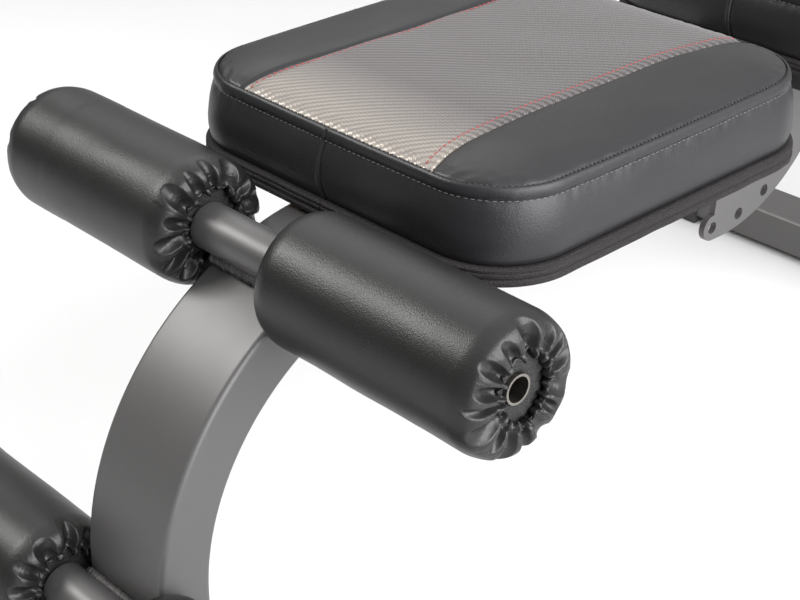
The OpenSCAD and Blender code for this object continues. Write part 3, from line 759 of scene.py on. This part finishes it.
    def panel_stitches(self, label, shift, pitch, length, width, material, depth):
        """Stitches along both borders of the middle panel, shift inward from it."""
        count = 1600
        y = np.linspace(self.front + PANEL_INSET + 1, self.rear - PANEL_INSET - 1, count)
        x = self.border(y) - shift
        z = self.crown(x, y, np.abs(shift) + 0 * x)
        spots = []
        tangents = []
        for side in (-1, 1):
            wx, wy = self.warp(x * side, y)
            line = np.column_stack([wx, wy, z - depth])
            arc = arc_lengths(line)
            for s in np.arange(pitch, arc[-1] - pitch, pitch):
                here = [np.interp(s, arc, line[:, k]) for k in range(3)]
                ahead = [np.interp(s + 1, arc, line[:, k]) for k in range(3)]
                spots.append(here)
                tangents.append([a - h for a, h in zip(ahead, here)])
        ups = [(0, 0, 1)] * len(spots)
        return self.stitches(label, spots, tangents, ups, length, width, material)

    def build(self):
        middle = self.middle_panel()
        pads = [middle, self.side_panel(-1), self.side_panel(1), self.boxing(), self.core()]
        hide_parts(self.name + "_cushion")
        self.trim()
        self.ring_stitches("edge_stitches", offset=-3.2, z=self.seam_z - 0.4, pitch=3.6,
                           length=2.6, width=0.9, material=black_thread, tilt=0.3)
        self.ring_stitches("roll_stitches", offset=-0.45, z=self.stitch_z, pitch=4.4,
                           length=3.0, width=0.6, material=grey_thread, tilt=0.95)
        self.panel_stitches("panel_stitches", shift=6.3, pitch=4.6,
                            length=3.4, width=0.85, material=red_thread, depth=0.1)


Cushion("seat", "seat", corner=54, middle=80, flare=13, front_bow=1.2, taper=0.022).build()
Cushion("back", "backrest", corner=45, middle=68, flare=13, front_bow=1.0, taper=0.02).build()


# ---- leg rollers ----


def smooth_curve(points, rounds):
    """Rounds off an open polyline by cutting its corners."""
    line = np.array(points, float)
    for _ in range(rounds):
        near = line[:-1] * 0.75 + line[1:] * 0.25
        far = line[:-1] * 0.25 + line[1:] * 0.75
        middle = np.empty((2 * len(near), 2))
        middle[0::2] = near
        middle[1::2] = far
        line = np.vstack([line[:1], middle, line[-1:]])
    return line


def gathered_end(radius, rim, shoulder):
    """Profile of a drawn-in end, walking out from the hem's edge: distances walked, depths from the
    end plane, radii, and the outward direction along the axis and across it."""
    hem = [
        (9.0, rim + 0.5), (5.5, rim - 0.3), (3.2, rim + 0.1),
        (2.0, rim + 2.0), (1.8, rim + 4.5), (2.4, rim + 8.0),
    ]
    corner = []
    for angle in (80, 65, 50, 35):
        turn = math.radians(angle)
        height = radius - shoulder * (1 - math.cos(turn))
        if height > rim + 10.0:
            corner.append((1.8 + shoulder * (1 - math.sin(turn)), height))
    barrel = [(2.4 + shoulder, radius), (10.0 + shoulder, radius), (54.0, radius)]
    line = smooth_curve(hem + corner + barrel, rounds=3)
    arc = arc_lengths(line)
    fine_reach = 54
    fine = 0.9
    wide = 2.2
    steps = np.concatenate([np.arange(0, fine_reach, fine), np.arange(fine_reach, arc[-1], wide)])
    depth = np.interp(steps, arc, line[:, 0])
    reach = np.interp(steps, arc, line[:, 1])
    d_depth = np.gradient(depth, steps)
    d_reach = np.gradient(reach, steps)
    norm = np.hypot(d_depth, d_reach)
    return steps, depth, reach, -d_reach / norm, d_depth / norm


class Folds:
    """Irregular gathers round a drawn-in end: scooped hollows with rounded tops between narrow ridges.

    turn is the place round the end from 0 to 1, and step the distance out from the hem's edge."""

    def __init__(self, count, seed, reach_limit):
        spread = np.random.default_rng(seed)
        self.sewn_at = 11.0
        self.count = count
        self.edges = (np.arange(count) + spread.uniform(-0.22, 0.22, count)) / count
        self.size = spread.uniform(0.7, 1.1, count)
        self.reach = np.minimum(spread.uniform(25, 37, count), reach_limit)
        self.skew = spread.uniform(-0.6, 0.6, count)
        self.lean = spread.uniform(-0.0008, 0.0013, count)
        self.split = spread.uniform(0.5, 1.2, count)
        self.hem_along, self.hem_across, _ = spread.uniform(-1.0, 1.0, (count, 3)).T

    def locate(self, turn, step):
        """Which fold each point round the end lies in, and how far across that fold it is."""
        edges = self.edges + self.lean * (step - 10)
        wrapped = np.mod(turn - edges[0], 1.0)
        starts = edges - edges[0]
        index = np.clip(np.searchsorted(starts, wrapped, side="right") - 1, 0, self.count - 1)
        ends = np.append(starts[1:], 1.0)
        across = (wrapped - starts[index]) / (ends[index] - starts[index])
        return index, across

    def height(self, turn, step):
        """Rise along the surface's outward direction."""
        index, across = self.locate(turn, step)
        skew = self.skew[index]
        hollow_half = 0.39
        side = (across - 0.5 - 0.07 * skew) / hollow_half
        up = np.maximum(step - self.sewn_at, 0) / (self.reach[index] - self.sewn_at)
        hollow = np.clip(1 - np.abs(side) ** 2.2 - up ** 2.6, 0, 1) ** 0.95 * (1 + 0.3 * skew * side)
        grow = min(1.0, step / 9.0)
        fade = np.clip(1.15 - step / self.reach[index], 0, 1)
        ridge = 0.5 * np.abs(side).clip(0, 1.3) ** 2 * grow * fade
        deepest = 1.2 + 5.4 * grow
        folds = ridge - deepest * self.size[index] * hollow
        pinch = bell(step - self.sewn_at, 1.5)
        thread_pull = 1.5
        folds = folds * (1 - 0.45 * pinch) - thread_pull * pinch
        ruffle = bell(max(step - 4.5, 0.0), 4.0)
        ruffle_height = 1.5
        curl = np.sin(2 * math.pi * (across * (1.6 + 0.8 * skew) + 0.05 * step * skew + 3 * skew))
        return folds + ruffle * ruffle_height * self.split[index] * curl

    def edge_shift(self, turn, step):
        """Unevenness of the hem's edge: along the axis and across it."""
        index, across = self.locate(turn, step)
        wave = np.sin(math.pi * across)
        near = math.exp(-step / 4.5)
        return near * wave * self.hem_along[index] * 1.8, near * wave * self.hem_across[index] * 1.6


FOLD_COUNT = 15
FOLD_REACH = 40.0
SHOULDER = 14.0
OUTER_RIM = 19.0
COVER_AROUND = 480
COVER_SKIN = 1.4
CORE_AROUND = 120
CORE_BORE = 9.7
CORE_GAP = 7.0
CORE_FACE = 28
CORE_ROUGHNESS = 0.13


def round_the_axis(count):
    return np.arange(count) / count * 2 * math.pi


def on_barrel(along, radius, angles):
    """Points of one ring: along the roller's axis, then across it."""
    return np.column_stack([np.full(len(angles), along), radius * np.cos(angles), radius * np.sin(angles)])


def sag_of(points, seed):
    """Slow unevenness of a cover's surface."""
    return smooth_noise(points, 60.0, seed) * 0.25


def gathered_rings(radius, rim, smallest, shoulder, reach_limit, fold_seed, crumple_seed, sag_seed):
    """Rings of one drawn-in end, from the hem's edge out to the barrel: depth and radius round each."""
    turn = np.arange(COVER_AROUND) / COVER_AROUND
    angles = round_the_axis(COVER_AROUND)
    folds = Folds(FOLD_COUNT, fold_seed, reach_limit)
    oval = 3.0 * np.cos(angles) - 2.0 * np.cos(2 * angles)
    rings = []
    for step, d, r, nx, nr in zip(*gathered_end(radius, rim, shoulder)):
        spots = on_barrel(d, r, angles)
        crumple = 1 - np.abs(smooth_noise(spots, 7.0, crumple_seed))
        near_hem = math.exp(-step / 9.0)
        over_folds = 0.12 * math.exp(-((step / 30.0) ** 4))
        rise = folds.height(turn, step) + (crumple - 0.7) * (near_hem + over_folds) + sag_of(spots, sag_seed)
        shift, spread = folds.edge_shift(turn, step)
        spread = spread + oval * bell(step, 16.0)
        ring_r = np.minimum(r + nr * rise + spread, radius + 1.0)
        rings.append((d + nx * rise + shift, np.maximum(ring_r, smallest)))
    return rings


def roller_cover(name, node, foam_node, body, side, seed):
    """Sleeve of coated fabric, drawn in by elastic at both ends. Its inner end is the one by the frame."""
    low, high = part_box(node)
    _, centre_y, centre_z = middle_of(node)
    radius = round_radius(node)
    length = (high[0] - low[0]) / MM
    inner_x = (low[0] if side > 0 else -high[0]) / MM
    angles = round_the_axis(COVER_AROUND)
    plain_inner = side > 0
    sag_seed = seed + 5
    inner = gathered_rings(radius, rim=21.5, smallest=18.0, shoulder=11.0 if plain_inner else SHOULDER,
                           reach_limit=20.0 if plain_inner else FOLD_REACH,
                           fold_seed=seed, crumple_seed=seed, sag_seed=sag_seed)
    outer = gathered_rings(radius, rim=OUTER_RIM, smallest=11.5, shoulder=SHOULDER, reach_limit=FOLD_REACH,
                           fold_seed=seed + 50, crumple_seed=seed + 1, sag_seed=sag_seed)
    barrel_start = float(gathered_end(radius, OUTER_RIM, SHOULDER)[1][-1])
    barrel = []
    for x in np.linspace(barrel_start, length - barrel_start, 26)[1:-1]:
        barrel.append((x, radius + sag_of(on_barrel(x, radius, angles), sag_seed)))
    lining = []
    for half, sign, base in ((outer, -1, length), (inner, 1, 0.0)):
        hem_x, hem_r = half[0]
        if sign < 0:
            hem_x = length - hem_x
        part = [(hem_x + sign * 0.2, hem_r + 0.9)]
        for d, r in ((10.5, 24.0), (12.5, 29.0), (18.0, 33.5), (32.0, 38.0), (52.0, radius - COVER_SKIN)):
            part.append((base + sign * d, r))
        lining += part if sign < 0 else part[::-1]
    outside = inner + barrel + [(length - x, r) for x, r in reversed(outer)]
    rings = []
    for x, r in outside + lining:
        ring = on_barrel(0.0, r, angles) + (0.0, centre_y, centre_z)
        ring[:, 0] = (inner_x + x) * side
        rings.append(ring * MM)
    verts, faces = loft(rings)
    obj = new_object(name, verts, faces, roller_leather)
    fix_normals(obj)
    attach(obj, body)
    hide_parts(node)
    roller_core(name.replace("cover", "core"), foam_node, body, side, centre_y, centre_z)


def roller_core(name, foam_node, body, side, centre_y, centre_z):
    """Foam tube inside a cover, with open pores on its ends. It clears the cover's folds by CORE_GAP."""
    low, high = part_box(foam_node)
    length = (high[0] - low[0]) / MM
    start = (low[0] if side > 0 else -high[0]) / MM
    core = round_radius(foam_node) - CORE_GAP
    end = [
        (0.4, CORE_BORE), (0.0, CORE_BORE + 2), (0.0, 15), (0.1, 19), (0.4, 23), (1.2, 27),
        (2.5, core - 6), (7, core), (14, core),
    ]
    walk = end + [(length - x, r) for x, r in reversed(end)] + [(length * 0.5, CORE_BORE)]
    angles = round_the_axis(CORE_AROUND)
    rings = []
    for x, r in walk:
        open_face = CORE_BORE + 1 < r < CORE_FACE
        rough = foam_dice.normal(0, CORE_ROUGHNESS, CORE_AROUND) if open_face else 0.0
        ring = on_barrel(0.0, r, angles) + (0.0, centre_y, centre_z)
        ring[:, 0] = (start + x + rough) * side
        rings.append(ring * MM)
    verts, faces = loft(rings)
    obj = new_object(name, verts, faces, foam)
    fix_normals(obj)
    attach(obj, body)
    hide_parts(foam_node)


for level, level_seed in (("upper", 3), ("lower", 21)):
    for side, label in ((-1, "left"), (1, "right")):
        roller_cover(f"{level}_{label}_gathered_cover", f"{level}_cover_{label}", f"{level}_foam_{label}",
                     f"{level}_roller_{label}", side, level_seed + side * 2)


# ---- welds ----


def weld_bead(name, path, width, seed):
    """Rippled bead along a path of points in millimetres."""
    line = np.array(path, float)
    arc = arc_lengths(line)
    total = arc[-1]

    def spot(s):
        return np.array([np.interp(min(max(s, 0), total), arc, line[:, k]) for k in range(3)])

    ring_spacing = 0.9
    steps = max(8, int(total / ring_spacing))
    ripple_pitch = 3.1
    around = 12
    unevenness = 0.05
    no_bead_runs_this_way = Vector((0.31, 0.82, 0.47))
    spread = np.random.default_rng(seed)
    rings = []
    for i in range(steps + 1):
        s = total * i / steps
        t = Vector(spot(s + 1) - spot(s - 1)).normalized()
        u = t.cross(no_bead_runs_this_way).normalized()
        w = t.cross(u)
        ripple = 1 + 0.16 * math.sin(s * 2 * math.pi / ripple_pitch) + spread.normal(0, unevenness)
        tapered_end = min(1.0, 0.35 + min(s, total - s) / 2)
        radius = width * ripple * tapered_end
        ring = []
        for k in range(around):
            angle = 2 * math.pi * k / around
            bump = radius * (1 + spread.normal(0, unevenness))
            ring.append(spot(s) + np.array(u) * math.cos(angle) * bump + np.array(w) * math.sin(angle) * bump)
        rings.append(np.array(ring) * MM)
    verts, faces = loft(rings, close_rings=False)
    faces.append(tuple(reversed(range(around))))
    faces.append(tuple((len(rings) - 1) * around + k for k in range(around)))
    obj = new_object(name, verts, faces, weld)
    fix_normals(obj)
    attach(obj, "frame")


def seat_welds(node, toward, apart, lift, half_length, width, seed):
    """Two beads along a cylinder, in the corners it makes with the tube that lies toward an angle about X."""
    radius = round_radius(node)
    _, y, z = middle_of(node)
    for number, sign in enumerate((-1, 1)):
        angle = toward + sign * math.radians(apart)
        spot_y = y + (radius + lift) * math.cos(angle)
        spot_z = z + (radius + lift) * math.sin(angle)
        path = [(x, spot_y, spot_z) for x in (-half_length, 0, half_length)]
        weld_bead(f"{node}_weld_{number}", path, width, seed + number)


def leg_welds():
    """Bead round the foot of each leg, where it meets its plate."""
    lift = 0.8
    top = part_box("leg_plates")[1][2] / MM + lift
    half_x = 40.5
    half_y = 20.5
    for name, seed in (("front", 65), ("rear", 64)):
        _, y, _ = middle_of(f"{name}_foot_tube")
        corners = [(-half_x, -half_y), (half_x, -half_y), (half_x, half_y), (-half_x, half_y)]
        path = [(x, y + across, top) for x, across in [*corners, corners[0]]]
        dense = []
        for a, b in zip(path[:-1], path[1:]):
            for t in np.linspace(0, 1, 12)[:-1]:
                dense.append([start + (end - start) * t for start, end in zip(a, b)])
        dense.append(path[-1])
        weld_bead(f"{name}_leg_weld", dense, width=2.4, seed=seed)


bend_low, bend_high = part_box("front_bend")
_, upper_y, upper_z = middle_of("upper_sleeve")
to_bend_middle = math.atan2(bend_low[2] / MM - upper_z, bend_high[1] / MM - upper_y)
seat_welds("upper_sleeve", to_bend_middle, apart=46, lift=1.2, half_length=38, width=4.6, seed=40)
seat_welds("lower_sleeve", 0.0, apart=40, lift=1.0, half_length=37, width=3.4, seed=50)
leg_welds()
seat_welds("back_barrel", -math.pi / 2, apart=38, lift=0.6, half_length=36, width=2.6, seed=70)


# ---- stage, light and camera ----


def stage():
    span = 6.0
    corners = [(-span, -span, 0), (span, -span, 0), (span, span, 0), (-span, span, 0)]
    mesh = bpy.data.meshes.new("floor")
    mesh.from_pydata(corners, [], [(0, 1, 2, 3)])
    floor = bpy.data.objects.new("floor", mesh)
    floor.data.materials.append(floor_material())
    bpy.context.scene.collection.objects.link(floor)


def area_light(name, place, target, size, power, colour):
    data = bpy.data.lights.new(name, "AREA")
    data.shape = "RECTANGLE"
    data.size = size[0]
    data.size_y = size[1]
    data.energy = power
    data.color = colour
    obj = bpy.data.objects.new(name, data)
    obj.location = place
    aim = Vector(target) - Vector(place)
    obj.rotation_euler = aim.to_track_quat("-Z", "Y").to_euler()
    bpy.context.scene.collection.objects.link(obj)


def studio_sky():
    """A pale sky, brightest above and behind the right of the bench."""
    world = bpy.data.worlds.new("studio")
    world.use_nodes = True
    tree = world.node_tree
    background = tree.nodes["Background"]
    coordinate = tree.nodes.new("ShaderNodeTexCoord")
    dot = tree.nodes.new("ShaderNodeVectorMath")
    dot.operation = "DOT_PRODUCT"
    dot.inputs[1].default_value = (0.42, 0.42, 0.80)
    tree.links.new(coordinate.outputs["Generated"], dot.inputs[0])
    spread = tree.nodes.new("ShaderNodeMapRange")
    spread.interpolation_type = "SMOOTHSTEP"
    spread.inputs["From Min"].default_value = -0.55
    spread.inputs["From Max"].default_value = 0.75
    spread.inputs["To Min"].default_value = 0.05
    spread.inputs["To Max"].default_value = 0.85
    tree.links.new(dot.outputs["Value"], spread.inputs["Value"])
    tree.links.new(spread.outputs["Result"], background.inputs["Strength"])
    background.inputs["Color"].default_value = (1.0, 1.0, 1.0, 1.0)
    bpy.context.scene.world = world
    bpy.context.scene.view_settings.view_transform = "Standard"


def lights():
    _, y, z = middle_of("upper_sleeve")
    target = (0.0, y * MM, z * MM)
    area_light("key", (-1.45, -1.5, 1.86), target, (0.8, 0.8), 40.0, (1.0, 0.995, 0.98))
    area_light("crown", (-1.5, 0.35, 2.1), target, (1.6, 1.2), 11.0, (1.0, 1.0, 1.0))
    area_light("side", (2.6, -0.17, 1.6), target, (3.4, 2.8), 290.0, (0.98, 0.98, 1.0))
    area_light("top", (0.2, 0.3, 2.6), (0.0, 0.0, 0.0), (2.6, 2.6), 14.0, (1.0, 1.0, 1.0))


def camera():
    """The photograph's viewpoint: close, from the front right, looking down at the rollers."""
    azimuth = math.radians(46.19)
    elevation = math.radians(29.37)
    roll = math.radians(0.38)
    _, y, z = middle_of("upper_sleeve")
    level = math.cos(elevation)
    back = Vector((math.sin(azimuth) * level, -math.cos(azimuth) * level, math.sin(elevation)))
    right = Vector((math.cos(azimuth), math.sin(azimuth), 0))
    up = back.cross(right)
    turned_right = right * math.cos(roll) + up * math.sin(roll)
    turned_up = up * math.cos(roll) - right * math.sin(roll)
    right_of_sleeve = 731.9
    ahead_of_sleeve = 576.9
    above_sleeve = 486.6
    place = Vector((right_of_sleeve, y - ahead_of_sleeve, z + above_sleeve)) * MM
    data = bpy.data.cameras.new("camera")
    data.sensor_width = 36.0
    data.lens = 74.63
    data.clip_start = 0.01
    obj = bpy.data.objects.new("camera", data)
    basis = Matrix((turned_right, turned_up, back)).transposed().to_4x4()
    obj.matrix_world = Matrix.Translation(place) @ basis
    bpy.context.scene.collection.objects.link(obj)
    bpy.context.scene.camera = obj


stage()
studio_sky()
lights()
camera()
